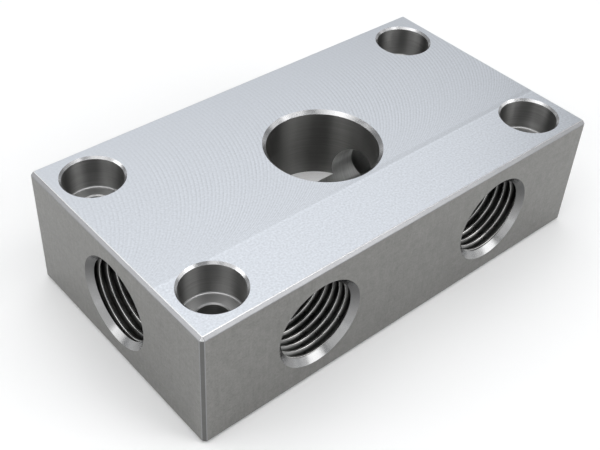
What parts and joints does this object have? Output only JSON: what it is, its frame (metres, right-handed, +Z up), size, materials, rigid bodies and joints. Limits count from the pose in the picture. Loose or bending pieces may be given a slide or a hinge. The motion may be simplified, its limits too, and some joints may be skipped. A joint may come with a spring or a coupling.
{
  "type": "distribution block",
  "caption": "Rectangular metal block with a stepped bore through its middle, tapped ports in its sides joined by cross drillings, and sunk screw holes in its corners.",
  "frame": {"origin": "middle of the underside", "axes": "+X along the block towards its right end, +Y from the ported front face to the back, +Z up out of the face with the sunk screw holes"},
  "size_m": [0.11, 0.06, 0.03],
  "materials": {
    "milled_aluminium": "milled and turned surfaces, bare metal"
  },
  "bodies": {
    "root": {"distribution_block": "milled_aluminium"}
  },
  "joints": []
}
